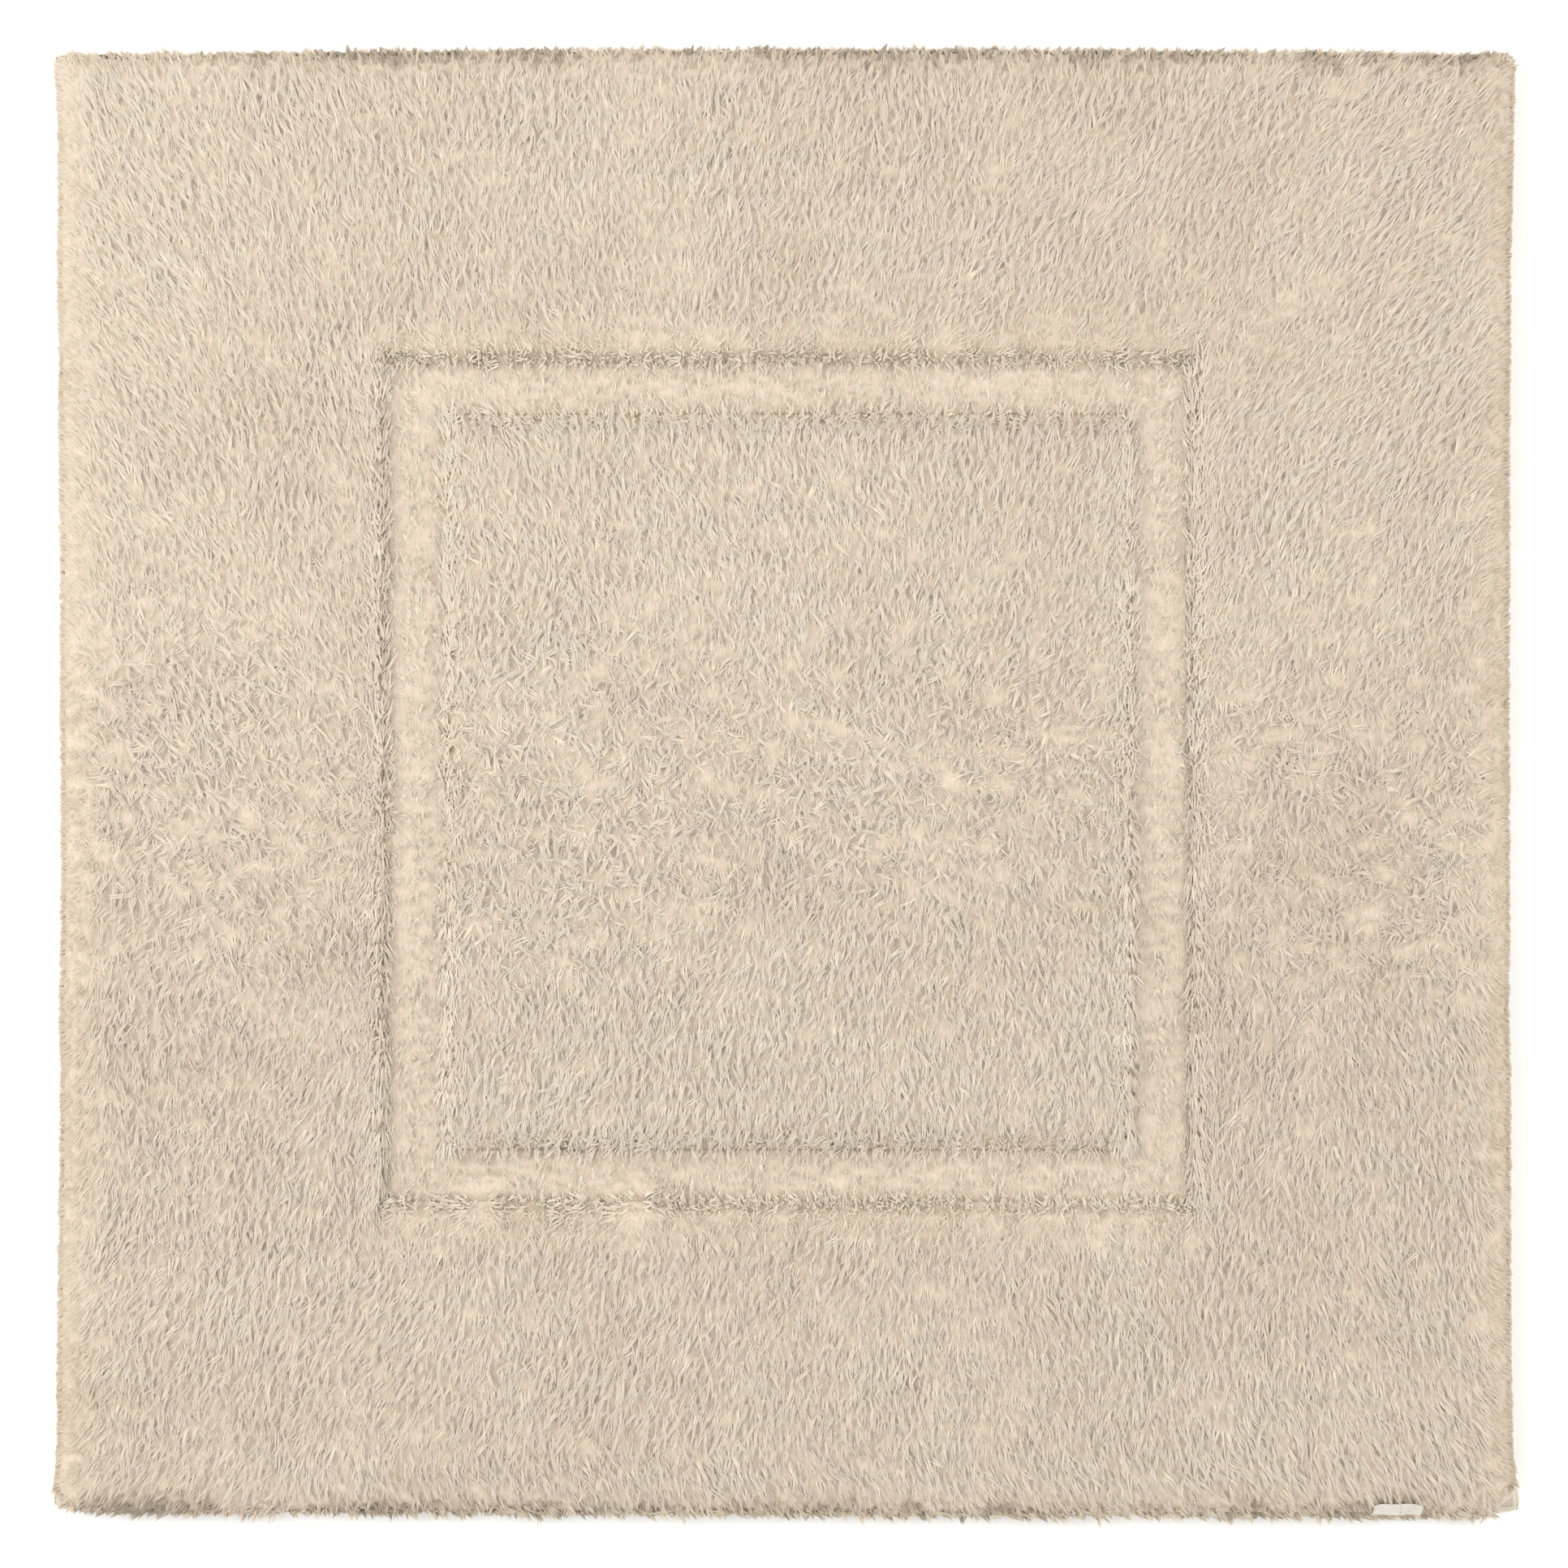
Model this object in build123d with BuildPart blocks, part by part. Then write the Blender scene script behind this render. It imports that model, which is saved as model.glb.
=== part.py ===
from build123d import *
import os

# A square tufted bath mat with a sunken frame in its pile. Millimetres, +Z up, +Y towards the back
# edge. The origin is the middle of the underside, so the mat lies on Z = 0.
# From the floor up it is: the latex coat with the turned-under hems around it, the woven cloth, and
# the pile. The pile is high in the border and in the centre, and low in the frame between them.

# --- driving dimensions ---------------------------------------------------------------------------
mat_width = 600.0             # X, over the folds of the left and right hems
mat_depth = 600.0             # Y, over the folds of the front and back hems
cloth_thickness = 1.0         # woven cloth that the tufts are stitched through, and its hems
cloth_corner_radius = 3.0
latex_thickness = 1.0         # back coat that locks the tufts

high_pile = 18.0              # border and centre, above the cloth
low_pile = 11.0               # sunken frame, above the cloth
side_border = 133.0           # mat edge to frame, at the left and right
end_border = 128.5            # mat edge to frame, at the front and back
side_frame = 25.5             # width of the frame's left and right legs
end_frame = 21.3              # width of the frame's front and back legs

pile_inset = 2.0              # bare cloth between the mat's edge and the outermost tufts
pile_corner_radius = 16.0     # leaves the cloth bare at each corner
shoulder_radius = 13.0        # where the border falls away to the mat's edge
wall_radius = 5.0             # where the high pile falls away to the frame

hem_width = 12.0
seam_margin = 3.0             # hem's inner edge to its seam
stitch_length = 3.6
stitch_pitch = 5.0
thread_diameter = 0.6

label_width = 20.0
label_thickness = 0.4
label_past_seam = 4.0         # how far its sewn-down foot runs in past the front hem's seam
label_turn = 60.0             # degrees of the border's shoulder that the label covers
label_from_right = 40.0       # mat edge to the label's right-hand edge

# --- derived sizes --------------------------------------------------------------------------------
OUTWARD = {"front": (0, -1), "right": (1, 0), "back": (0, 1), "left": (-1, 0)}

cloth_bottom = max(latex_thickness, cloth_thickness)
cloth_top = cloth_bottom + cloth_thickness
hem_bottom = cloth_bottom - cloth_thickness

mat_size = (mat_width, mat_depth)
latex_size = (mat_width - 2 * hem_width, mat_depth - 2 * hem_width)
pile_size = (mat_width - 2 * pile_inset, mat_depth - 2 * pile_inset)
frame_size = (mat_width - 2 * side_border, mat_depth - 2 * end_border)
centre_size = (frame_size[0] - 2 * side_frame, frame_size[1] - 2 * end_frame)
seam_inset = hem_width - seam_margin

os.makedirs("parts", exist_ok=True)


def ring_leg(side, outer, inner):
    """Middle, width and depth, seen from above, of one leg of a rectangular ring.

    The front and back legs run the ring's whole width, and the side legs fit between them.
    """
    out_x, out_y = OUTWARD[side]
    if out_y:
        return (0, out_y * (outer[1] + inner[1]) / 4), outer[0], (outer[1] - inner[1]) / 2
    return (out_x * (outer[0] + inner[0]) / 4, 0), (outer[0] - inner[0]) / 2, inner[1]


# --- cloth and latex coat -------------------------------------------------------------------------
with BuildPart() as backing_cloth:
    with BuildSketch(Plane.XY.offset(cloth_bottom)):
        RectangleRounded(mat_width, mat_depth, cloth_corner_radius)
    extrude(amount=cloth_thickness)
backing_cloth.part.label = "backing_cloth"
export_step(backing_cloth.part, "parts/backing_cloth.step")

with BuildPart() as latex_coat:
    with BuildSketch(Plane.XY.offset(cloth_bottom)):
        Rectangle(*latex_size)
    extrude(amount=-latex_thickness)
latex_coat.part.label = "latex_coat"
export_step(latex_coat.part, "parts/latex_coat.step")

# --- hems and their seams -------------------------------------------------------------------------
# Each seam is a row of stitches let into its hem's underside.
with BuildPart() as hem_ring:
    with BuildSketch(Plane.XY.offset(hem_bottom)):
        RectangleRounded(*mat_size, cloth_corner_radius)
        Rectangle(*latex_size, mode=Mode.SUBTRACT)
    extrude(amount=cloth_thickness)

for side, (out_x, out_y) in OUTWARD.items():
    middle, width, depth = ring_leg(side, mat_size, latex_size)
    seam_middle = (out_x * (mat_width / 2 - seam_inset), out_y * (mat_depth / 2 - seam_inset))
    if out_y:
        rows, turn = (int((width - 2 * seam_inset) // stitch_pitch), 1), 0
    else:
        rows, turn = (1, int(depth // stitch_pitch)), 90

    with BuildPart() as hem_stitch:
        with BuildSketch(Plane.XY.offset(hem_bottom)):
            with Locations(seam_middle):
                with GridLocations(stitch_pitch, stitch_pitch, *rows):
                    SlotOverall(stitch_length, thread_diameter, rotation=turn)
        extrude(amount=thread_diameter)
    hem_stitch.part.label = f"hem_stitch_{side}"
    export_step(hem_stitch.part, f"parts/hem_stitch_{side}.step")

    with BuildPart() as hem:
        add(hem_ring.part)
        with BuildSketch(Plane.XY.offset(hem_bottom)):
            with Locations(middle):
                Rectangle(width, depth)
        extrude(amount=cloth_thickness, mode=Mode.INTERSECT)
        add(hem_stitch.part, mode=Mode.SUBTRACT)
    hem.part.label = f"hem_{side}"
    export_step(hem.part, f"parts/hem_{side}.step")

# --- label ----------------------------------------------------------------------------------------
# A blank woven tape: the front seam holds its foot down on the cloth, and the rest is turned up over
# the border's front shoulder.
shoulder_centre = (shoulder_radius - pile_size[1] / 2, cloth_top + high_pile - shoulder_radius)
label_front = -pile_size[1] / 2 - label_thickness
label_back = seam_inset + label_past_seam - mat_depth / 2
label_left = mat_width / 2 - label_from_right - label_width

with BuildPart() as care_label:
    with BuildSketch(Plane.YZ.offset(label_left)):
        with BuildLine():
            outer_turn = CenterArc(shoulder_centre, shoulder_radius + label_thickness, 180, -label_turn)
            inner_turn = CenterArc(shoulder_centre, shoulder_radius, 180, -label_turn)
            Line(outer_turn @ 1, inner_turn @ 1)
            Polyline(
                inner_turn @ 0,
                (label_front + label_thickness, cloth_top + label_thickness),
                (label_back, cloth_top + label_thickness),
                (label_back, cloth_top),
                (label_front, cloth_top),
                outer_turn @ 0,
            )
        make_face()
    extrude(amount=label_width)
care_label.part.label = "care_label"
export_step(care_label.part, "parts/care_label.step")

# --- pile -----------------------------------------------------------------------------------------
# The border and the frame are rings of four legs each. The high pile's edges are rounded over: wide
# at the mat's edge, and tighter beside the frame.
with BuildPart() as border_ring:
    with BuildSketch(Plane.XY.offset(cloth_top)):
        RectangleRounded(*pile_size, pile_corner_radius)
        Rectangle(*frame_size, mode=Mode.SUBTRACT)
    extrude(amount=high_pile)
    fillet(border_ring.faces().sort_by(Axis.Z)[-1].outer_wire().edges(), radius=shoulder_radius)
    fillet(border_ring.faces().sort_by(Axis.Z)[-1].inner_wires()[0].edges(), radius=wall_radius)

for side in OUTWARD:
    middle, width, depth = ring_leg(side, pile_size, frame_size)
    with BuildPart() as border_pile:
        add(border_ring.part)
        with BuildSketch(Plane.XY.offset(cloth_top)):
            with Locations(middle):
                Rectangle(width, depth)
        extrude(amount=high_pile, mode=Mode.INTERSECT)
        if side == "front":
            add(care_label.part, mode=Mode.SUBTRACT)
    border_pile.part.label = f"border_pile_{side}"
    export_step(border_pile.part, f"parts/border_pile_{side}.step")

    middle, width, depth = ring_leg(side, frame_size, centre_size)
    with BuildPart() as frame_pile:
        with BuildSketch(Plane.XY.offset(cloth_top)):
            with Locations(middle):
                Rectangle(width, depth)
        extrude(amount=low_pile)
    frame_pile.part.label = f"frame_pile_{side}"
    export_step(frame_pile.part, f"parts/frame_pile_{side}.step")

with BuildPart() as centre_pile:
    with BuildSketch(Plane.XY.offset(cloth_top)):
        Rectangle(*centre_size)
    extrude(amount=high_pile)
    fillet(centre_pile.faces().sort_by(Axis.Z)[-1].edges(), radius=wall_radius)
centre_pile.part.label = "centre_pile"
export_step(centre_pile.part, "parts/centre_pile.step")
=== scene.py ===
# %% [markdown]
# # A tufted bath mat
# The mat is a square of woven cloth with thousands of yarn tufts stitched through it. The tufts stand
# high in a wide border and in the centre, and low in a frame between them. Round the edge the cloth is
# turned under and sewn down, and a latex coat on the back locks the tufts.
#
# The CAD model gives the place and size of every part, so this lesson starts by loading it. Everything
# that follows takes its sizes from the CAD parts' boxes and dresses them.

# %% Load the CAD model
import math

import bmesh
import bpy
import numpy as np
from mathutils import Matrix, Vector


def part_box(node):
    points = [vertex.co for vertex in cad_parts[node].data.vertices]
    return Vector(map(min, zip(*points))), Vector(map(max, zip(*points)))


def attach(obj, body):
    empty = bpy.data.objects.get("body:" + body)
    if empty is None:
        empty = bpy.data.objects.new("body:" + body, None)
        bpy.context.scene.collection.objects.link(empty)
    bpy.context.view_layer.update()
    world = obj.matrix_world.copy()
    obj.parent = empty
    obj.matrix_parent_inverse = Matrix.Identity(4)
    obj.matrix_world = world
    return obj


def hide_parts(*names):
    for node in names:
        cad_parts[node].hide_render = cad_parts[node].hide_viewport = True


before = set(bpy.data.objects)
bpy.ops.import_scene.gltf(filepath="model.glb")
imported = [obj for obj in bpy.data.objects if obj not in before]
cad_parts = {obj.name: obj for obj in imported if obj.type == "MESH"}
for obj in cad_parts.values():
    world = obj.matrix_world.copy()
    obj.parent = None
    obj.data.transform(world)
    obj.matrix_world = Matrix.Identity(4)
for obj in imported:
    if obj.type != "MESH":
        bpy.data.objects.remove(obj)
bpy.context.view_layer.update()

# %% [markdown]
# ## Sizes
# Asking each CAD part for its box keeps this file true to the design: when the CAD model changes, the
# looks follow. Only the half sizes are kept, because the mat is centred on the origin.

# %% Read the sizes of the parts
cloth_low, cloth_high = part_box("backing_cloth")
latex_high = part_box("latex_coat")[1]
border_low, border_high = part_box("border_pile_front")
frame_left_low, frame_left_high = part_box("frame_pile_left")
frame_front_low, frame_front_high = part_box("frame_pile_front")
label_low, label_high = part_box("care_label")

MAT = np.array([cloth_high.x, cloth_high.y])
PILE = np.array([border_high.x, -border_low.y])
FRAME = np.array([-frame_left_low.x, -frame_front_low.y])
CENTRE = np.array([-frame_left_high.x, -frame_front_high.y])
LATEX = np.array([latex_high.x, latex_high.y])
CLOTH_TOP = cloth_high.z
CLOTH_BOTTOM = cloth_low.z
HIGH_PILE = border_high.z - CLOTH_TOP
LOW_PILE = frame_left_high.z - CLOTH_TOP
print("half sizes: mat", MAT, "pile", PILE, "frame", FRAME, "centre", CENTRE)
print("pile heights:", round(HIGH_PILE, 4), round(LOW_PILE, 4))

# %% [markdown]
# ## Camera, floor and light
# The mat is seen from straight above. A long lens from well up keeps the square looking square, and the
# slight perspective shows the outer walls of the sunken frame, as it would in a studio.
#
# The light is two large soft panels at the left and right, the left one stronger, and a pale sky. Low
# light from the side is what makes pile readable: each lock gets a bright flank and a soft shadow.

# %% Set up the camera
VIEW_DISTANCE = 1.59      # from the camera down to the middle of the pile's height
VIEW_WIDTH = 0.6425       # how much of that plane the picture holds
VIEW_LEFT = 0.0005        # how far left of the middle the camera hangs
camera_data = bpy.data.cameras.new("camera")
camera_data.sensor_width = 36
camera_data.lens = camera_data.sensor_width * VIEW_DISTANCE / VIEW_WIDTH
camera = bpy.data.objects.new("camera", camera_data)
camera.location = (-VIEW_LEFT, 0, VIEW_DISTANCE + CLOTH_TOP + HIGH_PILE / 2)
bpy.context.scene.collection.objects.link(camera)
bpy.context.scene.camera = camera
bpy.context.scene.view_settings.view_transform = "Standard"
print("lens in mm:", round(camera_data.lens, 1))


# %% Lay the floor and hang the lights
def plain_material(name, colour, roughness):
    material = bpy.data.materials.new(name)
    material.use_nodes = True
    shader = material.node_tree.nodes["Principled BSDF"]
    shader.inputs["Base Color"].default_value = (*colour, 1)
    shader.inputs["Roughness"].default_value = roughness
    return material


def soft_panel(name, place, watts):
    """A square light panel that faces the middle of the mat."""
    light = bpy.data.lights.new(name, "AREA")
    light.size = PANEL_SIZE
    light.energy = watts
    panel = bpy.data.objects.new(name, light)
    panel.location = place
    panel.rotation_mode = "QUATERNION"
    panel.rotation_quaternion = panel.location.to_track_quat("Z", "Y")
    bpy.context.scene.collection.objects.link(panel)


PANEL_SIZE = 1.4
FLOOR_SIZE = 6
floor_form = bmesh.new()
bmesh.ops.create_grid(floor_form, x_segments=1, y_segments=1, size=FLOOR_SIZE)
floor_mesh = bpy.data.meshes.new("floor")
floor_form.to_mesh(floor_mesh)
floor_form.free()
floor = bpy.data.objects.new("floor", floor_mesh)
floor_mesh.materials.append(plain_material("floor_paper", (0.93, 0.93, 0.92), 0.9))
bpy.context.scene.collection.objects.link(floor)

soft_panel("left_panel", (-1.5, 0.35, 1.45), 21)
soft_panel("right_panel", (1.5, 0.15, 1.45), 12)
world = bpy.data.worlds.new("studio")
world.use_nodes = True
sky = world.node_tree.nodes["Background"]
sky.inputs["Color"].default_value = (1, 0.985, 0.96, 1)
sky.inputs["Strength"].default_value = 1.02
bpy.context.scene.world = world
print("lights:", [light.name for light in bpy.data.lights])

# %% [markdown]
# ## Soft unevenness
# Nothing on a cotton mat repeats exactly: pile height, lean and shade all drift over a few centimetres.
# One small helper gives that drift. It lays random values on a coarse grid and blends smoothly between
# them, and it works on whole arrays of points at once, which keeps twenty thousand tufts quick.


# %% Noise and easing helpers
GRID_START, GRID_SPAN = 0.39, 0.8     # the grid reaches past the mat all round


def ease(t):
    """0 below 0, 1 above 1, and a smooth climb between them."""
    t = np.clip(t, 0, 1)
    return t * t * (3 - 2 * t)


def waves(x, y, size, seed):
    """Smooth random hills between -1 and 1, about size apart."""
    count = int(GRID_SPAN / size) + 3
    grid = np.random.default_rng(seed).uniform(-1, 1, (count, count))
    across, along = (x + GRID_START) / size, (y + GRID_START) / size
    i, j = across.astype(int), along.astype(int)
    s, t = ease(across - i), ease(along - j)
    near = grid[i, j] * (1 - s) + grid[i + 1, j] * s
    far = grid[i, j + 1] * (1 - s) + grid[i + 1, j + 1] * s
    return near * (1 - t) + far * t


def depth_inside(x, y, half, corner=0.0):
    """How far in from a rectangle's edge each point lies, and the direction straight out of it."""
    out_x, out_y = np.abs(x) - half[0] + corner, np.abs(y) - half[1] + corner
    in_corner = (out_x > 0) & (out_y > 0)
    reach = np.hypot(np.maximum(out_x, 0), np.maximum(out_y, 0))
    depth = corner - reach - np.minimum(np.maximum(out_x, out_y), 0)
    safe = np.maximum(reach, 1e-9)
    normal_x = np.where(in_corner, out_x / safe, out_x >= out_y) * np.sign(x)
    normal_y = np.where(in_corner, out_y / safe, out_x < out_y) * np.sign(y)
    return depth, normal_x, normal_y


def drop(depth, radius):
    """How far a rounded-over edge has fallen below the flat, at some depth in from it."""
    short = np.clip(radius - depth, 0, radius)
    return radius - np.sqrt(radius**2 - short**2)


# %% [markdown]
# ## How the mat lies
# A real mat is never a true square: its sides pull in a little between the corners, the back edge bows
# out, and the corners flare or lift. Every piece is modelled true and then passed through one and the
# same bend, so that cloth, hems and pile stay together.

# %% The bend that every piece shares
CORNER_ROUND = 0.003                # radius of the mat's corners
SIDES_IN = 0.0018                   # how far the sides pull in, halfway along them
BACK_OUT = 0.0026                   # how far the back edge bows out
FRONT_OUT = 0.0018                  # how far the front edge stands out towards its right end
MIDDLE_SLIP = (0.0019, 0.0010)      # how far the middle has slipped to the right and back
RIPPLE = 0.0005
FLARE = {"front": (0.0026, -0.0018), "back": (0.0008, 0.0005)}      # of the corners, across and along
CORNER_LIFT = 0.003                 # of the back corners


def towards_edge(share, start):
    """0 up to a start on the way out from the middle, and then up to 1 at the edge."""
    return ease((share - start) / (1 - start))


def settle(points):
    """The given points, an array of x, y, z rows, as they lie on the floor."""
    x, y, z = points.T.copy()
    depth_x, depth_y = np.abs(x) - MAT[0] + CORNER_ROUND, np.abs(y) - MAT[1] + CORNER_ROUND
    cornered = (depth_x > 0) & (depth_y > 0)
    far = np.maximum(np.hypot(depth_x, depth_y), 1e-9)
    shrink = np.where(cornered, np.maximum(depth_x, depth_y) / far, 1)
    x = np.where(cornered, np.sign(x) * (MAT[0] - CORNER_ROUND + depth_x * shrink), x)
    y = np.where(cornered, np.sign(y) * (MAT[1] - CORNER_ROUND + depth_y * shrink), y)

    u, v = x / MAT[0], y / MAT[1]
    inner = np.clip(1 - u**2, 0, 1) * np.clip(1 - v**2, 0, 1)
    ripple = RIPPLE * waves(y, x * 0, 0.03, 21) * np.abs(u) ** 3
    moved_x = x - SIDES_IN * u * np.clip(1 - v**2, 0, 1) + MIDDLE_SLIP[0] * inner + ripple
    moved_y = y + BACK_OUT * np.clip(1 - u**2, 0, 1) * np.clip(v, 0, 1) ** 2 + MIDDLE_SLIP[1] * inner
    moved_y -= FRONT_OUT * ease((u + 1) / 2) * np.clip(-v, 0, 1) ** 2

    sideways = towards_edge(np.abs(u), 0.95) * towards_edge(np.abs(v), 0.90)
    endways = towards_edge(np.abs(u), 0.92) * towards_edge(np.abs(v), 0.95)
    moved_x += np.sign(u) * sideways * np.where(v < 0, FLARE["front"][0], FLARE["back"][0])
    moved_y += np.sign(v) * endways * np.where(v < 0, FLARE["front"][1], FLARE["back"][1])
    lift = towards_edge(np.abs(u), 0.955) * towards_edge(v, 0.965)
    return np.stack([moved_x, moved_y, z + CORNER_LIFT * lift], axis=1)


def points_of(mesh):
    points = np.empty(len(mesh.vertices) * 3)
    mesh.vertices.foreach_get("co", points)
    return points.reshape(-1, 3)


# %% [markdown]
# ## Cloth by the yard
# The ground of the mat is a plain weave of cotton. Every cloth piece here shares one woven finish: two
# sets of bands at right angles make the threads, and a mask picks which set is on top, as in a real
# weave. The bands are drawn on Object coordinates, in metres, so the threads are the same size on every
# piece. A weave this fine is best left to a bump in the material, because the threads are thinner than
# a millimetre.


# %% Finishes of cloth, thread, latex and label
def ramp(nodes, stops):
    """A colour ramp with the given (place, colour) stops."""
    node = nodes.new("ShaderNodeValToRGB")
    elements = node.color_ramp.elements
    while len(elements) < len(stops):
        elements.new(0.5)
    for element, (place, colour) in zip(elements, stops):
        element.position = place
        element.color = (*colour, 1)
    return node


def bands(nodes, links, direction, pitch, wobble=0.0):
    """Soft ridges that repeat every pitch metres along a direction of the Object coordinates."""
    place = nodes.new("ShaderNodeTexCoord")
    wave = nodes.new("ShaderNodeTexWave")
    wave.bands_direction = direction
    wave.inputs["Scale"].default_value = math.pi / (10 * pitch)
    wave.inputs["Distortion"].default_value = wobble
    wave.inputs["Detail"].default_value = 2
    wave.inputs["Detail Scale"].default_value = 0.2
    links.new(place.outputs["Object"], wave.inputs["Vector"])
    return wave.outputs["Fac"]


def combine(nodes, links, operation, first, second):
    """A math node on two sockets, or on a socket and a number."""
    node = nodes.new("ShaderNodeMath")
    node.operation = operation
    for value, socket in zip((first, second), node.inputs):
        if isinstance(value, bpy.types.NodeSocket):
            links.new(value, socket)
        else:
            socket.default_value = value
    return node.outputs["Value"]


def raise_by(nodes, links, height, distance):
    """Feeds a height into the shader's normal, as a bump some metres high."""
    bump = nodes.new("ShaderNodeBump")
    bump.inputs["Distance"].default_value = distance
    links.new(height, bump.inputs["Height"])
    links.new(bump.outputs["Normal"], nodes["Principled BSDF"].inputs["Normal"])


def mottled(nodes, links, size, stops, detail=4, stretch=(1, 1, 1)):
    """Paints the shader with uneven colour in patches of about size metres, and gives the pattern."""
    place = nodes.new("ShaderNodeTexCoord")
    scaled = nodes.new("ShaderNodeMapping")
    scaled.inputs["Scale"].default_value = stretch
    noise = nodes.new("ShaderNodeTexNoise")
    noise.inputs["Scale"].default_value = 1 / size
    noise.inputs["Detail"].default_value = detail
    tones = ramp(nodes, stops)
    links.new(place.outputs["Object"], scaled.inputs["Vector"])
    links.new(scaled.outputs["Vector"], noise.inputs["Vector"])
    links.new(noise.outputs["Fac"], tones.inputs["Fac"])
    links.new(tones.outputs["Color"], nodes["Principled BSDF"].inputs["Base Color"])
    return noise.outputs["Fac"]


def woven_finish(name, stops, pitch, roughness, sheen):
    material = plain_material(name, stops[-1][1], roughness)
    nodes, links = material.node_tree.nodes, material.node_tree.links
    nodes["Principled BSDF"].inputs["Sheen Weight"].default_value = sheen
    mottled(nodes, links, 0.004, stops)
    warp = bands(nodes, links, "X", pitch)
    weft = bands(nodes, links, "Y", pitch)
    wide_warp = bands(nodes, links, "X", 2 * pitch)
    wide_weft = bands(nodes, links, "Y", 2 * pitch)
    over = combine(nodes, links, "MULTIPLY", combine(nodes, links, "SUBTRACT", wide_warp, 0.5),
                   combine(nodes, links, "SUBTRACT", wide_weft, 0.5))
    threads = combine(nodes, links, "MAXIMUM", warp, weft)
    height = combine(nodes, links, "ADD", threads, combine(nodes, links, "MULTIPLY", over, 2.0))
    raise_by(nodes, links, height, 0.00018)
    return material


def latex_finish():
    """Cream latex: slightly glossy, cloudy in colour, and beaded where each stitch shows through."""
    material = plain_material("latex_finish", (0.80, 0.73, 0.58), 0.5)
    nodes, links = material.node_tree.nodes, material.node_tree.links
    cloud = mottled(nodes, links, 0.03, [(0.3, (0.77, 0.69, 0.53)), (0.7, (0.84, 0.78, 0.64))])
    beads = combine(nodes, links, "MULTIPLY", bands(nodes, links, "X", 0.004),
                    bands(nodes, links, "Y", 0.0045, 1.5))
    height = combine(nodes, links, "ADD", beads, combine(nodes, links, "MULTIPLY", cloud, 0.4))
    raise_by(nodes, links, height, 0.0005)
    return material


def thread_finish():
    """Sewing thread: whiter and smoother than the cloth, with its twist as fine slanting bands."""
    material = plain_material("thread_finish", (0.88, 0.83, 0.73), 0.55)
    nodes, links = material.node_tree.nodes, material.node_tree.links
    mottled(nodes, links, 0.002, [(0.3, (0.84, 0.78, 0.67)), (0.7, (0.90, 0.85, 0.76))])
    raise_by(nodes, links, bands(nodes, links, "DIAGONAL", 0.0004), 0.0001)
    return material


CREAM_CLOTH = [(0.3, (0.74, 0.67, 0.54)), (0.7, (0.83, 0.77, 0.65))]
WHITE_TAPE = [(0.3, (0.745, 0.695, 0.61)), (0.7, (0.82, 0.775, 0.695))]
CLOTH_FINISH = woven_finish("cotton_cloth", CREAM_CLOTH, 0.0009, 0.9, 0.15)
TAPE_FINISH = woven_finish("label_tape", WHITE_TAPE, 0.0004, 0.45, 0.3)
LATEX_FINISH = latex_finish()
THREAD_FINISH = thread_finish()
print("finishes:", [m.name for m in bpy.data.materials if m.node_tree and len(m.node_tree.nodes) > 2])

# %% [markdown]
# ## The cloth and the latex
# The cloth is one flat sheet, laid, and cut to the mat's size plus its hems. It starts as a grid, so that
# it can follow the shared bend, and extruding the grid gives it its thickness. Nothing would come of a
# cloth simulation here: the sheet lies on the floor with the stiff pile on it.
#
# The latex is brushed on the back in a thin coat. The rows of stitches stand out through it as ribs from
# front to back, which are modelled: they are what the mat grips the floor with.


# %% Make the cloth and the latex coat
def flat_block(half, cells, hole=None):
    """A slab from z 0 to 1 that is cut into cells, with a rectangular hole if one is given."""
    block = bmesh.new()
    bmesh.ops.create_grid(block, x_segments=int(cells[0]), y_segments=int(cells[1]), size=1)
    bmesh.ops.scale(block, verts=block.verts, vec=(half[0], half[1], 1))
    if hole is not None:
        for plane in ((hole[0], 0), (-hole[0], 0), (0, hole[1]), (0, -hole[1])):
            whole = block.verts[:] + block.edges[:] + block.faces[:]
            normal = (abs(plane[0]) > 0, abs(plane[1]) > 0, 0)
            bmesh.ops.bisect_plane(block, geom=whole, dist=1e-6, plane_co=(*plane, 0), plane_no=normal)
        middles = [(face, face.calc_center_median()) for face in block.faces]
        inside = [face for face, m in middles if abs(m.x) < hole[0] and abs(m.y) < hole[1]]
        bmesh.ops.delete(block, geom=inside, context="FACES")
    top = bmesh.ops.extrude_face_region(block, geom=block.faces[:])
    moved = [part for part in top["geom"] if isinstance(part, bmesh.types.BMVert)]
    bmesh.ops.translate(block, verts=moved, vec=(0, 0, 1))
    bmesh.ops.recalc_face_normals(block, faces=block.faces)
    return block


def piece_from(name, form, reshape, finish, nodes):
    """An object on the mat's body, from a bmesh whose points a function reshapes before they settle."""
    mesh = bpy.data.meshes.new(name)
    form.to_mesh(mesh)
    form.free()
    mesh.vertices.foreach_set("co", settle(reshape(points_of(mesh))).ravel())
    mesh.update()
    mesh.shade_smooth()
    mesh.materials.append(finish)
    piece = bpy.data.objects.new(name, mesh)
    bpy.context.scene.collection.objects.link(piece)
    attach(piece, "root")
    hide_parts(*nodes)
    print(name, "faces:", len(mesh.polygons))
    return piece


FOLD = CLOTH_TOP / 2      # radius of the fold at the mat's edge
HEM_WIDTH = MAT[0] - LATEX[0]
RIB_PITCH = 0.004
RIB_HEIGHT = 0.00035


def cloth_shape(points):
    points[:, 2] = np.where(points[:, 2] > 0.5, CLOTH_TOP, CLOTH_BOTTOM)
    return points


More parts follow.
